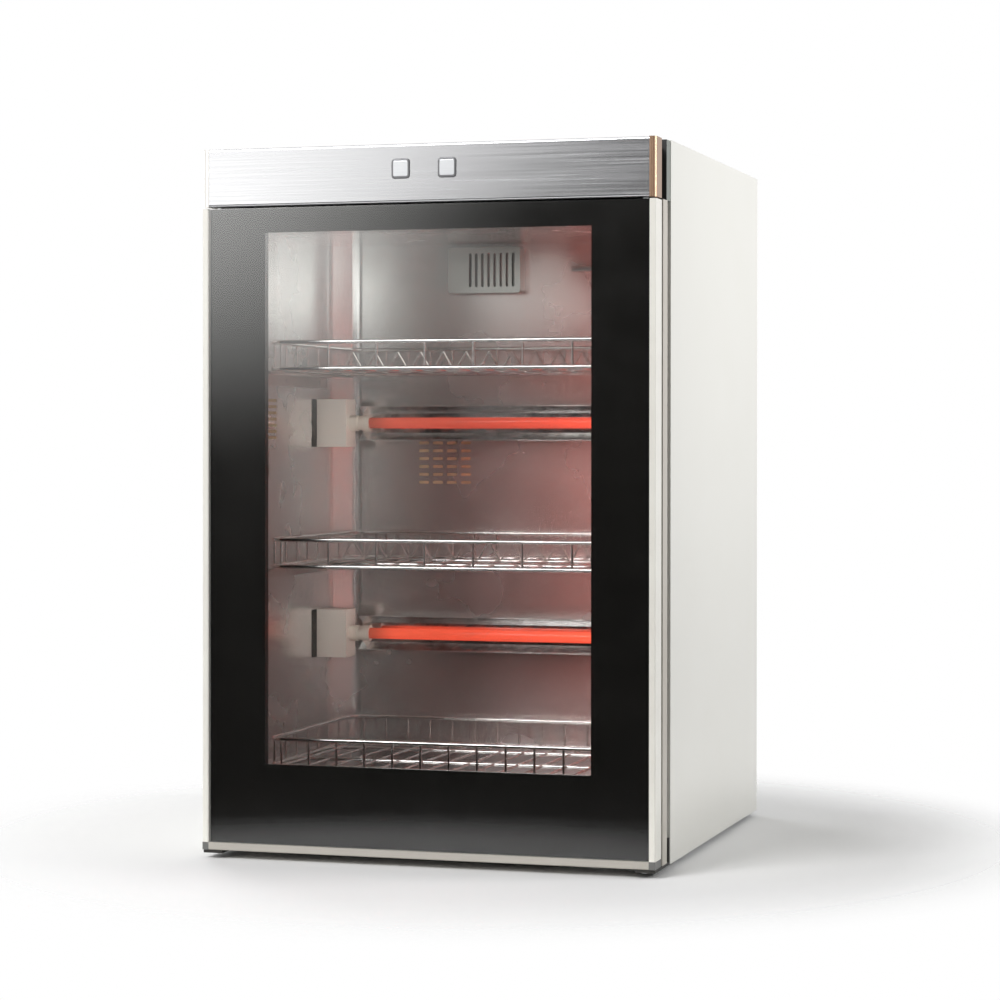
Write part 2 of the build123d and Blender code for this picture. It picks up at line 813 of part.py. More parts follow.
# ================================================================ control panel
skin_z = (panel_bottom_z, panel_top_z)
skin_depth = (skin_setback, skin_setback + skin_sheet)
box_z = (panel_bottom_z + skin_sheet, panel_top_z - skin_sheet)
neck_z = (panel_bottom_z + neck_drop, panel_top_z - neck_drop)
neck = (door_back, door_back + neck_depth)
front_wall = (skin_depth[1], skin_depth[1] + carrier_wall)
button_flange_depth = (front_wall[1] + seat, front_wall[1] + seat + button_flange_thickness)
stem_end = button_flange_depth[1] + stem_length
board_front = stem_end + button_travel + seat + switch_wall
switch_front = board_front - switch_depth
button_places = [-button_spacing / 2, button_spacing / 2]
board_z = (button_z - board_drop - board_height / 2, button_z - board_drop + board_height / 2)


def board_post_places():
    xs = (-board_width / 2 + board_post_inset, board_width / 2 - board_post_inset)
    zs = (board_z[0] + board_post_inset, board_z[1] - board_post_inset)
    return [(x, z) for x in xs for z in zs]


def button_hole(x, depth):
    width = button_width + 2 * seat
    height = button_tall + 2 * seat
    return tablet(x, button_z, width, height, button_radius + seat, depth)


def bent_front(depth, z, radius):
    """A block behind the panel's front with its two long front edges rounded, as the skin is bent."""
    whole = block((-glass_half, glass_half), depth, z)
    front = whole.faces().sort_by(Axis.Y)[0]
    return fillet([edge for edge in front.edges() if edge.length > panel_height], radius)


def panel_skin():
    """Brushed steel front, folded back along its upper and lower edges."""
    fold_end = skin_setback + skin_return
    whole = bent_front((skin_setback, fold_end), skin_z, skin_edge_radius)
    whole -= bent_front((skin_depth[1], fold_end), box_z, skin_edge_radius - skin_sheet)
    for x in button_places:
        whole -= button_hole(x, skin_depth)
    return whole


def panel_carrier():
    """Dark plastic body behind the skin: a front box, a narrow neck and a wide foot on the casing."""
    wall = carrier_wall
    foot = (neck[1], casing_front)
    foot_z = (panel_bottom_z, top_z - casing_sheet)
    neck_half = half_width - neck_inset
    whole = bent_front((front_wall[0], neck[0]), box_z, skin_edge_radius - skin_sheet + seat)
    whole += block((-neck_half, neck_half), neck, neck_z)
    whole += block((-frame_half, frame_half), foot, foot_z)
    box_hollow = shrink((glass_half, *box_z), wall)
    neck_hollow = shrink((neck_half, *neck_z), wall)
    foot_hollow = shrink((frame_half, *foot_z), wall)
    whole -= panel(box_hollow, (front_wall[1], neck[0] - wall))
    whole -= panel(neck_hollow, (neck[0] - wall, foot[0] + wall))
    whole -= panel(foot_hollow, (foot[0] + wall, foot[1]))
    for x in button_places:
        whole -= button_hole(x, front_wall)
    for x, z in board_post_places():
        whole += bar(x, (front_wall[1], board_front), z, board_post_radius)
    hole = bar(hinge_x, hinge_depth, (box_z[0], box_z[0] + wall), pin_radius + pin_clearance)
    return whole - hole


def panel_end_cap():
    """The right-hand end of the panel, rounded at its outer front edge."""
    cap = block((glass_half, half_width), (trim_setback, door_back), skin_z)
    outer = cap.edges().filter_by(Axis.Z).group_by(Axis.X)[-1].sort_by(Axis.Y)[0]
    return fillet(outer, end_cap_radius)


def push_button(x):
    """Square cap, a flange that keeps it behind the panel, and a stem that reaches into its switch."""
    cap = tablet(x, button_z, button_width, button_tall, button_radius, (0, button_flange_depth[1]))
    rim = cap.faces().sort_by(Axis.Y)[0].edges()
    cap = fillet(rim, button_edge_radius)
    width = button_width + 2 * button_flange
    height = button_tall + 2 * button_flange
    cap += tablet(x, button_z, width, height, button_radius, button_flange_depth)
    return cap + bar(x, (button_flange_depth[1], stem_end), button_z, stem_radius)


def button_spring(x):
    """A coil spring around the stem, between the button's flange and its switch."""
    room = switch_front - button_flange_depth[1] - 2 * spring_wire - 2 * pin_clearance
    coil = Helix(pitch=room / spring_coils, height=room, radius=spring_radius)
    start = Plane(origin=coil @ 0, z_dir=coil % 0)
    spring = sweep(start * Circle(spring_wire), path=coil, is_frenet=True)
    foot = back(switch_front - spring_wire - pin_clearance)
    return Pos(x, foot, button_z) * Rot(90, 0, 0) * spring


def push_switches():
    switches = []
    for x in button_places:
        half = switch_size / 2
        body = block((x - half, x + half), (switch_front, board_front), (button_z - half, button_z + half))
        body -= bar(x, (switch_front, board_front - switch_wall), button_z, stem_radius + seat)
        switches.append(body)
    return group(switches)


def control_board():
    """The circuit board behind the buttons, with its relay and capacitor on the back."""
    rear = board_front + board_thickness
    middle = sum(board_z) / 2
    board = surround(0, middle, board_width, board_height, (board_front, rear))
    board += surround(-board_part_place, middle, relay_width, relay_height, (rear, rear + relay_depth))
    capacitor = bar(board_part_place, (rear, rear + capacitor_length), middle, capacitor_radius)
    return board + capacitor


# ================================================================ hinge
def lower_bracket():
    """A plate under the door's corner, running back below the front frame to a tab in the groove."""
    x = (half_width - bracket_width, half_width - frame_side_inset)
    groove_end = casing_front - frame_sheet
    plate = block(x, (2 * skin_setback, groove_end), (base_z, base_z + bracket_sheet))
    tab = block(x, (groove_end - bracket_sheet, groove_end), (base_z, base_z + bracket_tab))
    return plate + tab


def lower_hinge_bracket():
    hole = bar(hinge_x, hinge_depth, (base_z, base_z + bracket_sheet), pin_radius + pin_clearance)
    return lower_bracket() - hole


def door_rest_bracket():
    """The same bracket without a pin: it carries the free corner of the closed door."""
    return mirror(lower_bracket(), about=Plane.YZ)


def upper_hinge_bracket():
    """A stepped strap inside the panel: one foot over the pin, the other on the carrier's wide foot."""
    x = (hinge_x - bracket_width / 2, glass_half - carrier_wall)
    front = (front_wall[1] + seat, neck[0] - carrier_wall)
    rear = (neck[1] + carrier_wall, casing_front - seat)
    floor = box_z[0] + carrier_wall
    rear_floor = panel_bottom_z + carrier_wall
    arm = (neck_z[0] + carrier_wall + seat, neck_z[0] + carrier_wall + seat + bracket_sheet)
    strap = block(x, front, (floor, floor + bracket_sheet))
    strap += block(x, (front[1] - bracket_sheet, front[1]), (floor, arm[1]))
    strap += block(x, (front[1] - bracket_sheet, rear[0] + bracket_sheet), arm)
    strap += block(x, (rear[0], rear[0] + bracket_sheet), (rear_floor, arm[1]))
    strap += block(x, rear, (rear_floor, rear_floor + bracket_sheet))
    return strap - bar(hinge_x, hinge_depth, (floor, floor + bracket_sheet), pin_radius + pin_clearance)


def hinge_pins():
    """The lower pin stands up into the door; the upper one hangs down from inside the panel."""
    x, depth = hinge_x, hinge_depth
    lower = bar(x, depth, (base_z - pin_head, base_z), pin_head_radius)
    lower += bar(x, depth, (base_z, door_bottom_z + pin_reach - bracket_clearance), pin_radius)
    strap_top = box_z[0] + carrier_wall + bracket_sheet
    upper = bar(x, depth, (strap_top, strap_top + pin_head), pin_head_radius)
    upper += bar(x, depth, (door_top_z - pin_reach + bracket_clearance, strap_top), pin_radius)
    return group([lower, upper])


# ================================================================ door
glass_rect = (glass_half, glass_bottom_z, door_top_z)
window_rect = (window_width / 2, *window_z)
frame_window = shrink(window_rect, -frame_window_margin)
pane_seat = shrink(frame_window, -pane_lap)
glass_depth = (skin_setback, skin_setback + glass_thickness)
print_depth = (glass_depth[1], glass_depth[1] + print_thickness)
pane_depth = (door_back - pane_thickness - seat, door_back - seat)
gasket_rect = (
    half_width - gasket_side_margin,
    door_bottom_z + gasket_end_margin,
    door_top_z - gasket_end_margin,
)
gasket_inner = shrink(gasket_rect, gasket_width)
bulb_rect = shrink(gasket_rect, (gasket_width - gasket_bulb_width) / 2)
bulb_inner = shrink(bulb_rect, gasket_bulb_width)
gasket_end = frame_face - seat
magnet_depth = (gasket_end - magnet_wall - magnet_thickness, gasket_end - magnet_wall)


def door_bore():
    """The vertical hole that the hinge pins run in, at both ends of the door."""
    radius = pin_radius + pin_clearance
    lower = bar(hinge_x, hinge_depth, (door_bottom_z, door_bottom_z + pin_reach), radius)
    upper = bar(hinge_x, hinge_depth, (door_top_z - pin_reach, door_top_z), radius)
    return [lower, upper]


def door_glass():
    return panel(glass_rect, glass_depth)


def glass_border():
    """The opaque border printed on the back of the door's glass."""
    return ring(shrink(glass_rect, print_inset), window_rect, print_depth)


def door_frame():
    whole = ring(glass_rect, frame_window, (print_depth[1], door_back))
    whole -= panel(pane_seat, (pane_depth[0], door_back))
    return whole - door_bore()


def inner_glass():
    return panel(shrink(pane_seat, seat), pane_depth)


def pane_clips():
    """Riveted plates over the inner pane's lower and side edges; the gasket's foot holds its upper edge."""
    clips = []
    half, low, high = pane_seat
    depth = (door_back, door_back + clip_thickness)
    rivet_depth = (depth[1], depth[1] + clip_thickness / 2)
    outwards = clip_length / 2 - clip_lap
    for z in spread(low + 4 * clip_length, high - 4 * clip_length, (high - low) / 3):
        x = half + outwards
        clip = tablet(x, z, clip_length, clip_width, clip_width / 4, depth)
        clips += on_both_sides(clip + bar(x, rivet_depth, z, clip_rivet_radius))
    z = low - outwards
    for x in (-half / 2, half / 2):
        clip = tablet(x, z, clip_width, clip_length, clip_width / 4, depth)
        clips.append(clip + bar(x, rivet_depth, z, clip_rivet_radius))
    return group(clips)


def door_side_trim():
    """The right-hand edge profile of the door, bevelled at its two front corners."""
    trim = block((glass_half, half_width), (trim_setback, door_back), (glass_bottom_z, door_top_z))
    front = trim.faces().sort_by(Axis.Y)[0].edges().filter_by(Axis.Z)
    return chamfer(front, trim_bevel)


def door_bottom_trim():
    """The lower edge profile: a lip that shows at the front, and a block between the corner caps."""
    z = (door_bottom_z, glass_bottom_z)
    inner = half_width - corner_cap_length
    lip_depth = (trim_setback, trim_setback + trim_lip)
    lip = block((-glass_half, glass_half), lip_depth, z)
    lower_edge = lip.faces().sort_by(Axis.Y)[0].edges().sort_by(Axis.Z)[0]
    lip = chamfer(lower_edge, trim_bevel)
    return lip + block((-inner, inner), (lip_depth[1], door_back), z)


def door_corner_caps():
    """Dark plastic corners under the side trims; the right-hand one turns on the lower hinge pin."""
    z = (door_bottom_z, glass_bottom_z)
    lip_back = trim_setback + trim_lip
    inner = half_width - corner_cap_length
    cap = block((inner, half_width), (lip_back, door_back), z)
    cap += block((glass_half, half_width), (trim_setback, lip_back), z)
    left = mirror(cap, about=Plane.YZ)
    return group([cap - door_bore(), left])


def door_gasket():
    """A foot on the door and a hollow bulb that closes on the front frame."""
    foot = ring(gasket_rect, gasket_inner, (door_back, door_back + gasket_foot))
    bulb = ring(bulb_rect, bulb_inner, (door_back + gasket_foot, gasket_end))
    wall = (gasket_bulb_width - magnet_width) / 2 - pin_clearance
    room = (magnet_depth[0] - pin_clearance, magnet_depth[1] + pin_clearance)
    hollow = ring(shrink(bulb_rect, wall), shrink(bulb_inner, -wall), room)
    return foot + bulb - hollow


def gasket_magnets():
    """Four magnet strips inside the gasket's bulb; they hold the door shut against the steel frame."""
    wall = (gasket_bulb_width - magnet_width) / 2
    half, low, high = shrink(bulb_rect, wall)
    upright = block((half - magnet_width, half), magnet_depth, (low, high))
    span = half - magnet_width - seat
    lower = block((-span, span), magnet_depth, (low, low + magnet_width))
    upper = block((-span, span), magnet_depth, (high - magnet_width, high))
    return group(on_both_sides(upright) + [lower, upper])


lower_level, middle_level, upper_level = rack_levels
lower_tube, upper_tube = tube_levels

PIECES = {
    "left_side_panel": mirror(side_panel(), about=Plane.YZ),
    "right_side_panel": side_panel(),
    "top_cover": top_cover(),
    "base_pan": base_pan(),
    "rear_cover": rear_cover(),
    "casing_screws": casing_screws(),
    "rubber_feet": rubber_feet(),
    "front_frame": front_frame(),
    "liner_wrap": liner_wrap(),
    "liner_ceiling": liner_ceiling(),
    "liner_floor": liner_floor(),
    "side_insulation": side_insulation(),
    "rear_insulation": rear_insulation(),
    "top_insulation": top_insulation(),
    "upper_rack_rails": rack_rails(upper_level),
    "middle_rack_rails": rack_rails(middle_level),
    "lower_rack_rails": rack_rails(lower_level),
    "tube_brackets": tube_brackets(),
    "tube_end_caps": tube_end_caps(),
    "upper_heater_tube": heater_tube(upper_tube),
    "lower_heater_tube": heater_tube(lower_tube),
    "upper_filament": filament(upper_tube),
    "lower_filament": filament(lower_tube),
    "reflectors": reflectors(),
    "ozone_vent_cover": ozone_vent_cover(),
    "temperature_probe": temperature_probe(),
    "ozone_generator": ozone_generator(),
    "electronics_plate": electronics_plate(),
    "terminal_block": terminal_block(),
    "wiring_harness": wiring_harness(),
    "cord_entry_cup": cord_entry_cup(),
    "cable_gland": cable_gland(),
    "panel_skin": panel_skin(),
    "panel_carrier": panel_carrier(),
    "panel_end_cap_left": mirror(panel_end_cap(), about=Plane.YZ),
    "panel_end_cap_right": panel_end_cap(),
    "push_switches": push_switches(),
    "control_board": control_board(),
    "power_button_spring": button_spring(button_places[0]),
    "start_button_spring": button_spring(button_places[1]),
    "power_button": push_button(button_places[0]),
    "start_button": push_button(button_places[1]),
    "lower_hinge_bracket": lower_hinge_bracket(),
    "upper_hinge_bracket": upper_hinge_bracket(),
    "door_rest_bracket": door_rest_bracket(),
    "hinge_pins": hinge_pins(),
    "door_glass": door_glass(),
    "glass_border": glass_border(),
    "door_frame": door_frame(),
    "inner_glass": inner_glass(),
    "pane_clips": pane_clips(),
    "door_trim_left": mirror(door_side_trim(), about=Plane.YZ),
    "door_trim_right": door_side_trim(),
    "door_trim_bottom": door_bottom_trim(),
    "door_corner_caps": door_corner_caps(),
    "door_gasket": door_gasket(),
    "gasket_magnets": gasket_magnets(),
    "upper_rack": rack(upper_level, wide_upright_pitch, True),
    "middle_rack": rack(middle_level, wide_upright_pitch, True),
    "lower_rack": rack(lower_level, close_upright_pitch, False),
}

os.makedirs("parts", exist_ok=True)
for name, piece in PIECES.items():
    export_step(piece, f"parts/{name}.step")
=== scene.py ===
"""Dish sterilizer cabinet: finishes, small visible details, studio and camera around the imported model.

Blender works in metres. Sizes in capitals are in millimetres, apart from the studio's and the camera's.
"""

import math

import bmesh
import bpy
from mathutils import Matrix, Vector


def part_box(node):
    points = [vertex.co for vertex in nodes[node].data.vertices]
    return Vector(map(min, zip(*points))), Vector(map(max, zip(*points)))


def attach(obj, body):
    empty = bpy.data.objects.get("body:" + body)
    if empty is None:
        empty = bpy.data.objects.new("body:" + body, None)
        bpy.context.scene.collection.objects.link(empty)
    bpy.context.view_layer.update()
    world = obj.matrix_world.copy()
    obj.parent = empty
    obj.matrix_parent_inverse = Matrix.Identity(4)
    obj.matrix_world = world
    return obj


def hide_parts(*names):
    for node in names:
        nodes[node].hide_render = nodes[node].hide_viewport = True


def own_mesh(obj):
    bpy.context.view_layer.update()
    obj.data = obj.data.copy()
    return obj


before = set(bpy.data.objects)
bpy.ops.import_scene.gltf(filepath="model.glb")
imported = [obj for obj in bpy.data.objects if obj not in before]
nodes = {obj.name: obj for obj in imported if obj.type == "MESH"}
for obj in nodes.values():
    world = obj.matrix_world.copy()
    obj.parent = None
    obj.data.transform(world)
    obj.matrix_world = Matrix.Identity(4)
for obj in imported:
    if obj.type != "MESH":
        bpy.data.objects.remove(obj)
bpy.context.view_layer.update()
MM = 0.001


# ---------------------------------------------------------------- material helpers
class Finish:
    """A material with one Principled shader, and short calls for the patterns that drive it."""

    def __init__(self, name, colour, roughness, metallic=0.0, **constants):
        self.name = name
        self.material = bpy.data.materials.new(name)
        self.material.use_nodes = True
        self.tree = self.material.node_tree
        self.shader = self.tree.nodes["Principled BSDF"]
        self.shader.inputs["Base Color"].default_value = (*colour, 1.0)
        self.shader.inputs["Roughness"].default_value = roughness
        self.shader.inputs["Metallic"].default_value = metallic
        for socket, value in constants.items():
            self.shader.inputs[socket.replace("_", " ")].default_value = value
        self.colour = colour
        self.place = self.add("ShaderNodeTexCoord").outputs["Object"]

    def add(self, kind, **settings):
        node = self.tree.nodes.new(kind)
        for key, value in settings.items():
            setattr(node, key, value)
        return node

    def feed(self, socket, value):
        if isinstance(value, bpy.types.NodeSocket):
            self.tree.links.new(value, socket)
        else:
            socket.default_value = value

    def stretched(self, scale):
        """The object's own coordinates, scaled differently along its axes."""
        mapping = self.add("ShaderNodeMapping")
        self.feed(mapping.inputs["Vector"], self.place)
        mapping.inputs["Scale"].default_value = scale
        return mapping.outputs["Vector"]

    def noise(self, scale, detail=2.0, across=None, roughness=0.5):
        node = self.add("ShaderNodeTexNoise")
        self.feed(node.inputs["Vector"], self.stretched(across) if across else self.place)
        node.inputs["Scale"].default_value = scale
        node.inputs["Detail"].default_value = detail
        node.inputs["Roughness"].default_value = roughness
        return node.outputs["Fac"]

    def axis(self, name):
        """One of the object's own coordinates, in metres."""
        node = self.add("ShaderNodeSeparateXYZ")
        self.feed(node.inputs["Vector"], self.place)
        return node.outputs[name]

    def math(self, operation, first, second=0.0):
        node = self.add("ShaderNodeMath", operation=operation)
        self.feed(node.inputs[0], first)
        self.feed(node.inputs[1], second)
        return node.outputs[0]

    def ranged(self, value, source, target, smooth=False):
        """The value moved from one range into another, and held inside it."""
        node = self.add("ShaderNodeMapRange")
        node.interpolation_type = "SMOOTHSTEP" if smooth else "LINEAR"
        self.feed(node.inputs["Value"], value)
        for socket, number in zip(("From Min", "From Max", "To Min", "To Max"), (*source, *target)):
            node.inputs[socket].default_value = number
        return node.outputs["Result"]

    def blend(self, amount, first, second):
        """A colour between two others."""
        node = self.add("ShaderNodeMix", data_type="RGBA")
        self.feed(node.inputs[0], amount)
        for index, colour in ((6, first), (7, second)):
            value = (*colour, 1.0) if isinstance(colour, tuple) else colour
            self.feed(node.inputs[index], value)
        return node.outputs[2]

    def vary(self, fac, amount):
        """The base colour, lighter and darker by this share where the pattern is high and low."""
        dark = tuple(c * (1 - amount) for c in self.colour)
        light = tuple(min(1.0, c * (1 + amount)) for c in self.colour)
        self.set_colour(self.blend(fac, dark, light))

    def set_colour(self, value):
        self.feed(self.shader.inputs["Base Color"], value)

    def set_roughness(self, fac, low, high):
        self.feed(self.shader.inputs["Roughness"], self.ranged(fac, (0.3, 0.7), (low, high)))

    def relief(self, *layers):
        """Bumps, each given as (pattern, depth in metres), the finest last."""
        normal = None
        for height, depth in layers:
            node = self.add("ShaderNodeBump")
            node.inputs["Strength"].default_value = 1.0
            node.inputs["Distance"].default_value = depth
            self.feed(node.inputs["Height"], height)
            if normal is not None:
                self.feed(node.inputs["Normal"], normal)
            normal = node.outputs["Normal"]
        self.feed(self.shader.inputs["Normal"], normal)


def painted(name, colour, roughness, peel=0.00002):
    """Powder coat on sheet metal: faint orange peel, slightly uneven gloss and shade."""
    finish = Finish(name, colour, roughness)
    finish.vary(finish.noise(3.0, 3.0), 0.02)
    finish.set_roughness(finish.noise(14.0, 3.0), roughness * 0.9, roughness * 1.15)
    finish.relief((finish.noise(4.5, 1.0), 0.0004), (finish.noise(700.0, 2.0), peel))
    return finish


def brushed(name, colour, roughness, across, depth=0.000004):
    """Brushed steel; across stretches the grain along one axis."""
    finish = Finish(name, colour, roughness, metallic=1.0)
    grain = finish.noise(1.0, 4.0, across=across, roughness=0.7)
    finish.vary(grain, 0.05)
    finish.set_roughness(grain, roughness * 0.8, roughness * 1.3)
    finish.relief((grain, depth))
    return finish


def sheet_steel(name, colour, roughness, waves=0.0005, metallic=1.0):
    """Bright rolled sheet: long soft waves and a fine rolling grain."""
    finish = Finish(name, colour, roughness, metallic=metallic)
    cloud = finish.noise(9.0, 4.0)
    finish.vary(cloud, 0.06)
    finish.set_roughness(cloud, roughness * 0.8, roughness * 1.3)
    grain = finish.noise(1.0, 3.0, across=(260.0, 260.0, 12.0))
    finish.relief((finish.noise(5.0, 1.0), waves), (grain, 0.000003))
    return finish


def plated(name, colour, roughness):
    """Plated or polished wire and small metal parts."""
    finish = Finish(name, colour, roughness, metallic=1.0)
    spots = finish.noise(160.0, 3.0)
    finish.vary(spots, 0.08)
    finish.set_roughness(spots, roughness * 0.7, roughness * 1.5)
    finish.relief((spots, 0.00001))
    return finish


def moulded(name, colour, roughness, depth=0.00003, **constants):
    """Moulded plastic or rubber with a fine texture."""
    finish = Finish(name, colour, roughness, **constants)
    finish.vary(finish.noise(25.0, 3.0), 0.08)
    texture = finish.noise(1400.0, 2.0)
    finish.set_roughness(texture, roughness * 0.9, min(1.0, roughness * 1.15))
    finish.relief((texture, depth))
    return finish


def pane(name, colour, alpha):
    """A thin clear pane: little alpha, so that light and sight pass, and a strong mirror in what is left."""
    finish = Finish(name, colour, 0.02, Alpha=alpha, IOR=6.0)
    finish.set_roughness(finish.noise(6.0, 3.0), 0.015, 0.04)
    return finish


# ---------------------------------------------------------------- finishes
def black_print():
    """Ceramic print behind the glass: deep black, with faint unevenness."""
    finish = Finish("black_print", (0.006, 0.005, 0.004), 0.22)
    cloud = finish.noise(30.0, 3.0)
    finish.vary(cloud, 0.3)
    finish.set_roughness(cloud, 0.2, 0.26)
    finish.relief((finish.noise(260.0, 2.0), 0.000004))
    return finish


BUTTON_HALF = 8.5
BUTTON_CORNER = 3.0
RING_INSET = (1.9, 1.3)


def button_finish(middle_x, middle_z):
    """Silver cap with a darker inlaid ring that follows its rounded square outline."""
    half, corner = BUTTON_HALF * MM, BUTTON_CORNER * MM
    finish = Finish("button_silver", (0.80, 0.80, 0.79), 0.28, metallic=0.6)
    reach = []
    for axis, middle in (("X", middle_x), ("Z", middle_z)):
        offset = finish.math("ABSOLUTE", finish.math("SUBTRACT", finish.axis(axis), middle))
        past = finish.math("SUBTRACT", offset, half - corner)
        reach.append(finish.math("MAXIMUM", past, 0.0))
    squares = [finish.math("MULTIPLY", value, value) for value in reach]
    distance = finish.math("SQRT", finish.math("ADD", *squares))
    ring = finish.ranged(distance, [corner - inset * MM for inset in RING_INSET], (0.0, 1.0), smooth=True)
    grain = finish.noise(1.0, 3.0, across=(60.0, 60.0, 2400.0))
    face = finish.blend(grain, (0.66, 0.67, 0.69), (0.76, 0.77, 0.79))
    finish.set_colour(finish.blend(ring, face, (0.20, 0.20, 0.21)))
    finish.relief((ring, -0.0002))
    return finish


FULL_GLOW_HALF = 120.0
TUBE_END = 152.0


def glowing_quartz(name, colour, strength):
    """Quartz tube lit from inside: brightest along its middle, fading to its ends."""
    finish = Finish(name, (0.55, 0.16, 0.10), 0.12, Alpha=0.8)
    from_middle = finish.math("ABSOLUTE", finish.axis("X"))
    ends = finish.ranged(from_middle, (FULL_GLOW_HALF * MM, TUBE_END * MM), (1.0, 0.25), smooth=True)
    streaks = finish.noise(1.0, 3.0, across=(30.0, 400.0, 400.0))
    streaked = finish.ranged(streaks, (0.3, 0.7), (0.85 * strength, 1.1 * strength))
    glow = finish.math("MULTIPLY", ends, streaked)
    finish.shader.inputs["Emission Color"].default_value = (*colour, 1.0)
    finish.feed(finish.shader.inputs["Emission Strength"], glow)
    return finish


def hot_wire(name, colour, strength):
    """Glowing resistance wire, a little brighter and darker along its length."""
    finish = Finish(name, (0.3, 0.12, 0.08), 0.6, metallic=0.5)
    beads = finish.noise(900.0, 2.0)
    finish.shader.inputs["Emission Color"].default_value = (*colour, 1.0)
    glow = finish.ranged(beads, (0.3, 0.7), (0.7 * strength, 1.2 * strength))
    finish.feed(finish.shader.inputs["Emission Strength"], glow)
    return finish


FOOT_FRONT = -169.6
PAINT_EDGE = 0.2


def carrier_plastic():
    """Black plastic, painted still darker in front of the wide foot as painted shade of the shadow gap around
    the neck, and a grey-green coat on the foot behind the neck.
    """
    finish = Finish("carrier_plastic", (0.02, 0.02, 0.02), 0.5)
    edge = ((FOOT_FRONT - PAINT_EDGE) * MM, (FOOT_FRONT + PAINT_EDGE) * MM)
    behind = finish.ranged(finish.axis("Y"), edge, (0.0, 1.0))
    speckle = finish.noise(40.0, 3.0)
    grey = finish.blend(speckle, (0.20, 0.215, 0.195), (0.23, 0.245, 0.225))
    # near black in front of the foot: painted shade of the shadow gap, not the plastic's own colour
    finish.set_colour(finish.blend(behind, (0.008, 0.008, 0.008), grey))
    finish.relief((finish.noise(1400.0, 2.0), 0.00003))
    return finish


def wool():
    """Mineral wool felt."""
    finish = Finish("mineral_wool", (0.70, 0.62, 0.42), 0.95)
    fibres = finish.noise(1.0, 5.0, across=(120.0, 500.0, 260.0))
    finish.vary(fibres, 0.3)
    finish.relief((fibres, 0.0006))
    return finish


def ceramic():
    """Fired ceramic, off-white and slightly rough."""
    finish = Finish("ceramic_white", (0.80, 0.74, 0.66), 0.45)
    finish.vary(finish.noise(90.0, 3.0), 0.06)
    finish.relief((finish.noise(500.0, 3.0), 0.00003))
    return finish


def circuit_board():
    """Green lacquer over straight copper tracks."""
    finish = Finish("circuit_board", (0.02, 0.16, 0.06), 0.35)
    tracks = finish.noise(1.0, 0.0, across=(40.0, 1.0, 700.0))
    lines = finish.ranged(tracks, (0.52, 0.55), (0.0, 1.0))
    finish.set_colour(finish.blend(lines, (0.015, 0.12, 0.045), (0.03, 0.24, 0.09)))
    finish.relief((lines, 0.00003))
    return finish


BUTTONS = ("power_button", "start_button")
button_middle = {name: sum(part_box(name), Vector()) / 2 for name in BUTTONS}

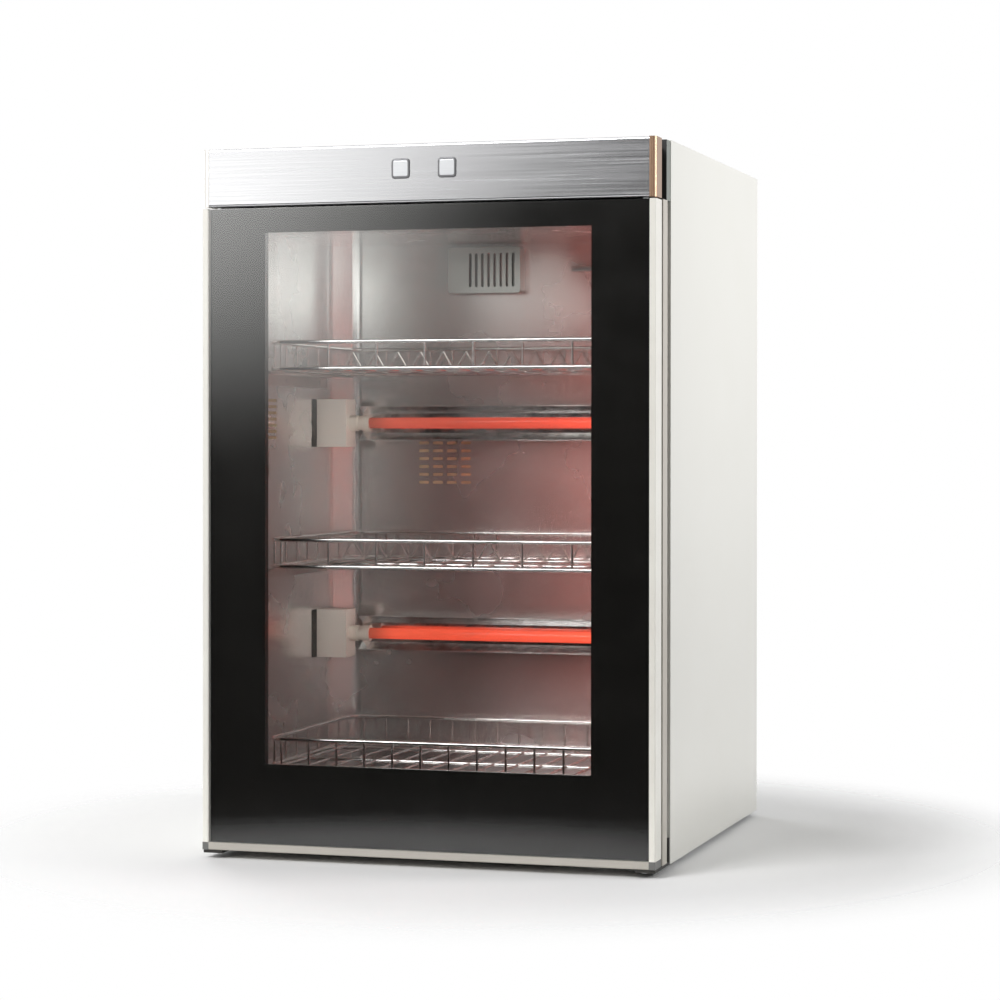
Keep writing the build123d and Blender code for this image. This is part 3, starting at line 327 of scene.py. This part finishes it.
# each finish, with the CAD nodes that it goes on
FINISHES = [
    (
        painted("casing_white", (0.86, 0.85, 0.80), 0.38),
        ["left_side_panel", "right_side_panel", "top_cover", "rear_cover"],
    ),
    (painted("frame_beige", (0.60, 0.56, 0.50), 0.45), ["front_frame"]),
    (brushed("panel_steel", (0.56, 0.56, 0.575), 0.22, (6.0, 700.0, 700.0), 0.0000015), ["panel_skin"]),
    (
        sheet_steel("chamber_steel", (0.80, 0.80, 0.79), 0.24, metallic=0.75),
        ["liner_wrap", "liner_ceiling", "liner_floor"],
    ),
    (
        sheet_steel("fitting_steel", (0.74, 0.73, 0.71), 0.32, 0.0001),
        [
            "upper_rack_rails",
            "middle_rack_rails",
            "lower_rack_rails",
            "ozone_vent_cover",
            "temperature_probe",
        ],
    ),
    (sheet_steel("bracket_steel", (0.92, 0.86, 0.79), 0.38, 0.0001, 0.1), ["tube_brackets"]),
    (plated("rack_wire", (0.82, 0.80, 0.78), 0.16), ["upper_rack", "middle_rack", "lower_rack"]),
    (plated("reflector", (0.88, 0.87, 0.86), 0.14), ["reflectors"]),
    (
        plated("zinc_steel", (0.60, 0.61, 0.62), 0.35),
        ["base_pan", "casing_screws", "electronics_plate", "upper_hinge_bracket", "hinge_pins", "pane_clips"],
    ),
    (plated("spring_steel", (0.5, 0.5, 0.5), 0.3), ["power_button_spring", "start_button_spring"]),
    (painted("dark_steel", (0.025, 0.023, 0.02), 0.5), ["lower_hinge_bracket", "door_rest_bracket"]),
    (glowing_quartz("quartz_upper", (0.62, 0.085, 0.055), 0.8), ["upper_heater_tube"]),
    (glowing_quartz("quartz_lower", (0.95, 0.10, 0.045), 0.95), ["lower_heater_tube"]),
    (hot_wire("filament_upper", (1.0, 0.22, 0.10), 1.2), ["upper_filament"]),
    (hot_wire("filament_lower", (1.0, 0.25, 0.10), 2.0), ["lower_filament"]),
    (ceramic(), ["tube_end_caps"]),
    (pane("outer_pane", (0.02, 0.022, 0.02), 0.15), ["door_glass"]),
    (pane("inner_pane", (0.02, 0.022, 0.02), 0.06), ["inner_glass"]),
    (black_print(), ["glass_border"]),
    (moulded("trim_cream", (0.96, 0.92, 0.85), 0.3, 0.000006), ["door_trim_left", "door_trim_right"]),
    # the bottom trim is the same cream profile as the sides, darkened as painted shade
    (moulded("trim_cream_painted_shade", (0.52, 0.49, 0.44), 0.3, 0.000006), ["door_trim_bottom"]),
    # the end caps are a matching pair; the right one's brown is a painted reflection
    (brushed("cap_champagne", (0.34, 0.22, 0.15), 0.32, (900.0, 900.0, 8.0)), ["panel_end_cap_right"]),
    (brushed("cap_silver", (0.80, 0.78, 0.75), 0.32, (900.0, 900.0, 8.0)), ["panel_end_cap_left"]),
    (moulded("plastic_dark", (0.02, 0.019, 0.018), 0.5), ["door_frame", "push_switches"]),
    (moulded("plastic_cup", (0.03, 0.03, 0.03), 0.55), ["cord_entry_cup", "cable_gland"]),
    (moulded("plastic_cap", (0.17, 0.17, 0.165), 0.4), ["door_corner_caps"]),
    (carrier_plastic(), ["panel_carrier"]),
    (moulded("plastic_grey", (0.20, 0.20, 0.19), 0.5), ["ozone_generator"]),
    *[(button_finish(button_middle[name].x, button_middle[name].z), [name]) for name in BUTTONS],
    (moulded("gasket_rubber", (0.015, 0.015, 0.015), 0.7), ["door_gasket"]),
    (moulded("foot_rubber", (0.02, 0.02, 0.02), 0.8), ["rubber_feet"]),
    (moulded("magnet", (0.05, 0.045, 0.045), 0.8), ["gasket_magnets"]),
    (wool(), ["side_insulation", "rear_insulation", "top_insulation"]),
    (circuit_board(), ["control_board"]),
    (moulded("terminal_ivory", (0.78, 0.74, 0.62), 0.4), ["terminal_block"]),
    (moulded("wire_silicone", (0.5, 0.06, 0.04), 0.5), ["wiring_harness"]),
]


def wear(node, finish):
    """Puts the finish on every material slot of a CAD node."""
    slots = nodes[node].material_slots
    for slot in slots:
        slot.material = finish.material
    if not slots:
        nodes[node].data.materials.append(finish.material)


for finish, names in FINISHES:
    for name in names:
        wear(name, finish)
made = {finish.name: finish for finish, names in FINISHES}


# ---------------------------------------------------------------- pieces that the solids leave plain
HALF_DEPTH = 210.0
REAR_FACE = 418.4
CHAMBER_HALF = 203.0


def at(x, depth, z):
    """A point in metres from millimetres, with its depth counted from the frontmost plane."""
    return Vector((x * MM, (depth - HALF_DEPTH) * MM, z * MM))


def add_piece(name, data, finish, body="cabinet"):
    """A new object that rides on a body, with its finish."""
    thing = bpy.data.objects.new(name, data)
    bpy.context.scene.collection.objects.link(thing)
    data.materials.append(finish.material)
    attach(thing, body)
    return thing


def mesh_from(name, shape, smooth=True):
    """A mesh from a bmesh, with its faces turned outwards. The bmesh is freed."""
    mesh = bpy.data.meshes.new(name)
    bmesh.ops.recalc_face_normals(shape, faces=shape.faces)
    shape.to_mesh(mesh)
    shape.free()
    for face in mesh.polygons:
        face.use_smooth = smooth
    return mesh


def circle(radius, sides):
    """Points around a circle, as pairs."""
    turns = [2 * math.pi * k / sides for k in range(sides)]
    return [(radius * math.cos(turn), radius * math.sin(turn)) for turn in turns]


def grid_faces(shape, rows, closed=False):
    """Quads between rows of vertices that all have the same length."""
    for low, high in zip(rows, rows[1:]):
        count = len(low)
        for i in range(count if closed else count - 1):
            j = (i + 1) % count
            shape.faces.new((low[i], low[j], high[j], high[i]))


TUBE_LEVELS = {"upper": 402.0, "lower": 190.0}
TUBE_DEPTH = 264.0
COIL_HALF = 150.0
COIL_RADIUS = 1.25
COIL_WIRE = 0.3
COIL_TURNS = 125
COIL_STEPS = 10
COIL_TAIL = 8.0


def heating_coil(name, level, finish):
    """A resistance wire wound in a close helix, with a straight tail at each end of the tube."""
    curve = bpy.data.curves.new(name, "CURVE")
    curve.dimensions = "3D"
    curve.bevel_depth = COIL_WIRE * MM
    curve.bevel_resolution = 1
    points = [at(-COIL_HALF - COIL_TAIL, TUBE_DEPTH, level)]
    steps = COIL_TURNS * COIL_STEPS
    for i in range(steps + 1):
        turn = 2 * math.pi * i / COIL_STEPS
        x = -COIL_HALF + 2 * COIL_HALF * i / steps
        depth = TUBE_DEPTH + COIL_RADIUS * math.cos(turn)
        points.append(at(x, depth, level + COIL_RADIUS * math.sin(turn)))
    points.append(at(COIL_HALF + COIL_TAIL, TUBE_DEPTH, level))
    spline = curve.splines.new("POLY")
    spline.points.add(len(points) - 1)
    for point, place in zip(spline.points, points):
        point.co = (*place, 1.0)
    coil = add_piece(name, curve, finish)
    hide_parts(name.replace("_coil", ""))


SPRING_RADIUS = 4.2
SPRING_WIRE = 0.5
SPRING_TURNS = 4
SPRING_STEPS = 20
SPRING_SIDES = 8


def button_spring(button, finish):
    """The coil spring around a button's stem, as it stands with the button out."""
    low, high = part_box(f"{button}_spring")
    centre = (low + high) / 2
    back = Vector((0.0, 1.0, 0.0))
    wire = SPRING_WIRE * MM
    steps = SPRING_TURNS * SPRING_STEPS
    shape = bmesh.new()
    rings = []
    for i in range(steps + 1):
        turn = 2 * math.pi * i / SPRING_STEPS
        outwards = Vector((math.cos(turn), 0.0, math.sin(turn)))
        middle = centre + outwards * SPRING_RADIUS * MM
        middle.y = low.y + wire + (high.y - low.y - 2 * wire) * i / steps
        section = circle(wire, SPRING_SIDES)
        rings.append([shape.verts.new(middle + outwards * out + back * along) for out, along in section])
    grid_faces(shape, rings, closed=True)
    for end in (rings[0], rings[-1]):
        shape.faces.new(end)
    name = f"{button}_coil"
    spring = add_piece(name, mesh_from(name, shape), finish)
    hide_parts(f"{button}_spring")
    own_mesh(spring)


HEAD_RADIUS = 3.2
HEAD_HEIGHT = 1.6
HEAD_RIM = 0.5
HEAD_RINGS = 16
HEAD_SIDES = 48
RECESS_WIDTH = 0.55
RECESS_LENGTH = 1.9
RECESS_DEPTH = 0.9
RECESS_WALL = 0.12
RECESS_END = 0.35
SHANK_RADIUS = 1.4
SHANK_LENGTH = 7.0
COVER_SCREW_X = 209.5
COVER_SCREW_LEVELS = (25.0, 178.25, 331.5, 484.75, 638.0)
FOOT_SCREW_X = 175.0
FOOT_SCREW_DEPTHS = (95.0, 376.4)
FOOT_SCREW_SEAT = 2.5


def head_height(x, z):
    """A pan head's height over its seat, with a cross recess."""
    share = math.hypot(x, z) / HEAD_RADIUS
    dome = HEAD_RIM + (HEAD_HEIGHT - HEAD_RIM) * math.sqrt(max(0.0, 1.0 - share ** 4))
    narrow, long = sorted((abs(x), abs(z)))
    inside = min((RECESS_WIDTH - narrow) / RECESS_WALL, (RECESS_LENGTH - long) / RECESS_END)
    return dome - RECESS_DEPTH * min(1.0, max(0.0, inside))


def screw(shape, seat, outwards, sideways):
    """A pan-head screw standing on its seat, its head outwards and its shank inwards."""
    across = outwards.cross(sideways)

    def corner(x, z, height):
        return shape.verts.new(seat + (sideways * x + across * z + outwards * height) * MM)

    rings = []
    for i in range(1, HEAD_RINGS + 1):
        places = circle(HEAD_RADIUS * i / HEAD_RINGS, HEAD_SIDES)
        rings.append([corner(x, z, head_height(x, z)) for x, z in places])
    for radius, height in ((HEAD_RADIUS, 0.0), (SHANK_RADIUS, 0.0), (SHANK_RADIUS, -SHANK_LENGTH)):
        rings.append([corner(x, z, height) for x, z in circle(radius, HEAD_SIDES)])
    grid_faces(shape, rings, closed=True)
    shape.faces.new(rings[0])
    shape.faces.new(rings[-1])


def casing_screws(finish):
    """The rear cover's screws and those that hold the feet, at the places of the plain ones."""
    shape = bmesh.new()
    for side in (-1, 1):
        for z in COVER_SCREW_LEVELS:
            turned = Vector((math.cos(z), 0.0, math.sin(z)))
            screw(shape, at(side * COVER_SCREW_X, REAR_FACE, z), Vector((0, 1, 0)), turned)
        for depth in FOOT_SCREW_DEPTHS:
            turned = Vector((math.cos(depth), math.sin(depth), 0.0))
            screw(shape, at(side * FOOT_SCREW_X, depth, FOOT_SCREW_SEAT), Vector((0, 0, -1)), turned)
    screws = add_piece("cross_head_screws", mesh_from("cross_head_screws", shape), finish)
    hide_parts("casing_screws")


LOUVRE_ROWS = 8
LOUVRE_PITCH = 12.0
LOUVRE_TOP = 591.0
LOUVRE_X = 105.0
HOOD_HALF = 37.0
HOOD_TOP = 4.5
HOOD_DROP = 8.0
HOOD_PROUD = 1.45
HOOD_SHEET = 0.45
HOOD_TAPER = 9.0
HOOD_COLUMNS = 24
HOOD_STEPS = 6


def hood(shape, middle_x, top):
    """One hood of bent sheet, with an outer and an inner skin that meet along its open lower edge."""
    edges = []
    for inset in (0.0, HOOD_SHEET):
        rows = []
        for i in range(HOOD_STEPS + 1):
            share = i / HOOD_STEPS
            row = []
            for k in range(HOOD_COLUMNS + 1):
                x = -HOOD_HALF + 2 * HOOD_HALF * k / HOOD_COLUMNS
                taper = min(1.0, (HOOD_HALF - abs(x)) / HOOD_TAPER)
                rise = math.sin(share * math.pi / 2) * math.sin(taper * math.pi / 2)
                proud = max(0.0, HOOD_PROUD * rise - inset)
                row.append(shape.verts.new(at(middle_x + x, REAR_FACE + proud, top - HOOD_DROP * share)))
            rows.append(row)
        grid_faces(shape, rows)
        edges.append(rows[-1])
    grid_faces(shape, edges)


def louvre_hoods(finish):
    """Pressed hoods over the rear cover's slots, open downwards."""
    shape = bmesh.new()
    for side in (-1, 1):
        for row in range(LOUVRE_ROWS):
            hood(shape, side * LOUVRE_X, LOUVRE_TOP - LOUVRE_PITCH * row + HOOD_TOP)
    add_piece("louvre_hoods", mesh_from("louvre_hoods", shape), finish)


RAIL_LEVELS = (78.5, 266.0, 451.5)
RAIL_FACE_X = 201.5
RIVET_DEPTHS = (80.0, 168.0, 255.0)
RIVET_DROP = 9.0
RIVET_RADIUS = 2.4
RIVET_HEIGHT = 0.9
RIVET_DIMPLE = 0.25
RIVET_RINGS = 6
RIVET_SIDES = 20


def rivet(shape, side, seat):
    """A domed rivet head with a dimple, facing away from the wall on this side."""
    rings = []
    for i in range(1, RIVET_RINGS + 1):
        share = i / RIVET_RINGS
        height = RIVET_HEIGHT * math.sqrt(1.0 - share * share) - (RIVET_DIMPLE if i == 1 else 0.0)
        places = circle(RIVET_RADIUS * share, RIVET_SIDES)
        rings.append([shape.verts.new(seat + Vector((-side * height, y, z)) * MM) for y, z in places])
    grid_faces(shape, rings, closed=True)
    shape.faces.new(rings[0])


def rivets(finish):
    """Pop rivets that hold the rack rails to the chamber's side walls."""
    shape = bmesh.new()
    for level in RAIL_LEVELS:
        for depth in RIVET_DEPTHS:
            for side in (-1, 1):
                rivet(shape, side, at(side * RAIL_FACE_X, depth, level - RIVET_DROP))
    add_piece("rail_rivets", mesh_from("rail_rivets", shape), finish)


STRIP_SHEET = 0.6
STRIP_DEPTHS = (238.0, 250.0)
STRIP_HALF = 24.0
STRIP_EDGE = 0.2


def painted_shade_strips(finish):
    """Dark sheets on the side walls, just in front of the tubes' brackets, that stand for the shade there:
    painted shade.
    """
    shape = bmesh.new()
    for level in TUBE_LEVELS.values():
        for side in (-1, 1):
            low = at(side * CHAMBER_HALF, STRIP_DEPTHS[0], level - STRIP_HALF)
            high = at(side * (CHAMBER_HALF - STRIP_SHEET), STRIP_DEPTHS[1], level + STRIP_HALF)
            cube = bmesh.ops.create_cube(shape, size=1.0)
            for vertex in cube["verts"]:
                spans = zip(low, high, vertex.co)
                vertex.co = Vector([(a + b) / 2 + c * abs(b - a) for a, b, c in spans])
    bmesh.ops.bevel(shape, geom=shape.edges[:], offset=STRIP_EDGE * MM, segments=2, affect="EDGES")
    add_piece("painted_shade_strips", mesh_from("painted_shade_strips", shape, smooth=False), finish)


for side, level in TUBE_LEVELS.items():
    heating_coil(f"{side}_filament_coil", level, made[f"filament_{side}"])
for button in BUTTONS:
    button_spring(button, made["spring_steel"])
casing_screws(made["zinc_steel"])
louvre_hoods(made["casing_white"])
rivets(made["zinc_steel"])
# dark sheets beside the tubes' brackets: painted shade
painted_shade_strips(made["dark_steel"])


# ---------------------------------------------------------------- studio, in metres and watts
FLOOR_RADIUS = 6.0
FLOOR_FADE = (0.33, 0.58)
ROOM_LIGHT = 0.3
FRONT_WALL_X = (-2.4, 2.4)
FRONT_WALL_Y = -2.75
FRONT_WALL_Z = (-0.8, 2.0)
FLAG_X = 0.62
FLAG_Y = (-0.5, 0.7)
FLAG_Z = (0.0, 0.22)


def fading_floor():
    """A pale floor that takes the object's shadow and fades into the white background."""
    bpy.ops.mesh.primitive_circle_add(vertices=96, radius=FLOOR_RADIUS, fill_type="NGON", location=(0, 0, 0))
    floor = bpy.context.object
    floor.name = "studio_floor"
    finish = Finish("studio_floor", (0.86, 0.86, 0.86), 0.9)
    output = finish.tree.nodes["Material Output"]
    distance = finish.add("ShaderNodeVectorMath", operation="LENGTH")
    finish.feed(distance.inputs[0], finish.place)
    edge = finish.ranged(distance.outputs["Value"], FLOOR_FADE, (0.0, 1.0), smooth=True)
    clear = finish.add("ShaderNodeBsdfTransparent")
    mix = finish.add("ShaderNodeMixShader")
    finish.feed(mix.inputs[0], edge)
    finish.feed(mix.inputs[1], finish.shader.outputs[0])
    finish.feed(mix.inputs[2], clear.outputs[0])
    finish.feed(output.inputs["Surface"], mix.outputs[0])
    floor.data.materials.append(finish.material)


def softbox(name, place, target, size, strength, colour=(1.0, 1.0, 1.0), spread=180.0):
    """A rectangular lamp at a place, aimed at a target. It isn't seen itself, only its light."""
    light = bpy.data.lights.new(name, "AREA")
    light.spread = math.radians(spread)
    light.shape = "RECTANGLE"
    light.size, light.size_y = size
    light.energy = strength
    light.color = colour
    lamp = bpy.data.objects.new(name, light)
    lamp.location = place
    lamp.rotation_euler = (Vector(target) - Vector(place)).to_track_quat("-Z", "Y").to_euler()
    lamp.visible_camera = False
    bpy.context.scene.collection.objects.link(lamp)
    return lamp


def card(name, corners, finish):
    """A flat sheet of the studio that casts and mirrors, but isn't seen itself."""
    mesh = bpy.data.meshes.new(name)
    mesh.from_pydata(corners, [], [(0, 1, 2, 3)])
    sheet = bpy.data.objects.new(name, mesh)
    bpy.context.scene.collection.objects.link(sheet)
    mesh.materials.append(finish.material)
    sheet.visible_camera = False


def front_wall():
    """The dark side of the studio in front of the cabinet, with soft glowing patches that it mirrors."""
    finish = Finish("studio_front", (0.0, 0.0, 0.0), 1.0)
    x, z = finish.axis("X"), finish.axis("Z")

    def patch(rise_x, fall_x, rise_z, fall_z, strength):
        """A glowing patch between soft edges, each given as (dark, full)."""
        glow = strength
        for value, span in ((x, rise_x), (x, fall_x), (z, rise_z), (z, fall_z)):
            glow = finish.math("MULTIPLY", finish.ranged(value, span, (0.0, 1.0), smooth=True), glow)
        return glow

    upper_left = patch((-2.3, -2.0), (-0.66, -1.45), (0.32, 0.95), (0.95, 0.85), strength=3.9)
    over_panel = patch((-2.3, -2.0), (-0.5, -0.9), (0.82, 0.9), (1.5, 1.1), strength=1.2)
    by_camera = patch((0.1, 0.35), (1.6, 1.35), (0.38, 0.62), (1.35, 1.2), strength=1.7)
    glow = finish.math("ADD", finish.math("ADD", upper_left, over_panel), by_camera)
    finish.shader.inputs["Emission Color"].default_value = (1.0, 1.0, 0.98, 1.0)
    finish.feed(finish.shader.inputs["Emission Strength"], glow)
    (left, right), (low, high) = FRONT_WALL_X, FRONT_WALL_Z
    outline = [(left, low), (right, low), (right, high), (left, high)]
    card("studio_front", [(x, FRONT_WALL_Y, z) for x, z in outline], finish)


def low_flag():
    """A black card low on the right, that keeps the floor's light off the foot of the side panel."""
    (front, rear), (low, high) = FLAG_Y, FLAG_Z
    outline = [(front, low), (rear, low), (rear, high), (front, high)]
    card("studio_flag", [(FLAG_X, y, z) for y, z in outline], Finish("studio_flag", (0.0, 0.0, 0.0), 1.0))


def studio_world():
    """White where it is seen directly, mirrored or through glass, and a dim even room as a light."""
    world = bpy.data.worlds.new("studio")
    world.use_nodes = True
    bpy.context.scene.world = world
    tree = world.node_tree
    path = tree.nodes.new("ShaderNodeLightPath")
    seen = path.outputs["Is Camera Ray"]
    for kind in ("Is Glossy Ray", "Is Transmission Ray"):
        either = tree.nodes.new("ShaderNodeMath")
        either.operation = "MAXIMUM"
        tree.links.new(seen, either.inputs[0])
        tree.links.new(path.outputs[kind], either.inputs[1])
        seen = either.outputs[0]
    strength = tree.nodes.new("ShaderNodeMapRange")
    tree.links.new(seen, strength.inputs["Value"])
    strength.inputs["To Min"].default_value = ROOM_LIGHT
    strength.inputs["To Max"].default_value = 1.0
    background = tree.nodes["Background"]
    background.inputs["Color"].default_value = (1.0, 1.0, 1.0, 1.0)
    tree.links.new(strength.outputs["Result"], background.inputs["Strength"])


def lamps():
    """The lamps around the cabinet, and weak ones inside it for the light that its bright walls pass on."""
    softbox("front_high", (-0.9, -2.0, 1.9), (0.0, -0.2, 0.35), (1.2, 1.2), 50)
    softbox("right_high", (1.7, 0.2, 0.95), (0.2, 0.1, 0.5), (0.6, 0.6), 6.5, spread=110.0)
    softbox("above", (0.0, 0.3, 2.6), (0.0, 0.0, 0.6), (1.5, 1.5), 2)
    softbox("rear_left", (-1.8, 2.0, 1.0), (0.0, 0.2, 0.4), (1.2, 1.2), 30)
    cool, red, warm = (0.97, 1.0, 0.95), (1.0, 0.25, 0.2), (1.0, 0.97, 0.92)
    softbox("inside_top", at(-70, 120, 574), at(-170, 230, 470), (0.24, 0.14), 0.12, cool, spread=140.0)
    unmirrored = [
        softbox("tube_glow", at(155, 80, 345), at(165, 305, 345), (0.07, 0.42), 1.3, red, spread=120.0),
        softbox("on_brackets", at(40, 60, 296), at(-170, 235, 296), (0.04, 0.28), 0.09, warm, spread=50.0),
    ]
    for lamp in unmirrored:
        lamp.visible_glossy = False


# ---------------------------------------------------------------- camera, solved from the photograph
CAMERA_PLACE = (0.7876, -2.4290, 0.3824)
CAMERA_YAW = 15.684
CAMERA_PITCH = 0.367
CAMERA_ROLL = -0.059
CAMERA_SHIFT = (-0.1, -0.0405)
FOCAL_PIXELS = 2620.3
FRAME_PIXELS = 1000
SENSOR = 36.0


def camera():
    """The view that the photograph was taken from."""
    data = bpy.data.cameras.new("camera")
    data.sensor_width = SENSOR
    data.lens = SENSOR * FOCAL_PIXELS / FRAME_PIXELS
    data.shift_x, data.shift_y = CAMERA_SHIFT
    data.clip_end = 50.0
    view = bpy.data.objects.new("camera", data)
    view.location = CAMERA_PLACE
    view.rotation_euler = [math.radians(a) for a in (90.0 - CAMERA_PITCH, CAMERA_ROLL, CAMERA_YAW)]
    bpy.context.scene.collection.objects.link(view)
    bpy.context.scene.camera = view


fading_floor()
front_wall()
low_flag()
studio_world()
lamps()
camera()
bpy.context.scene.view_settings.view_transform = "Standard"
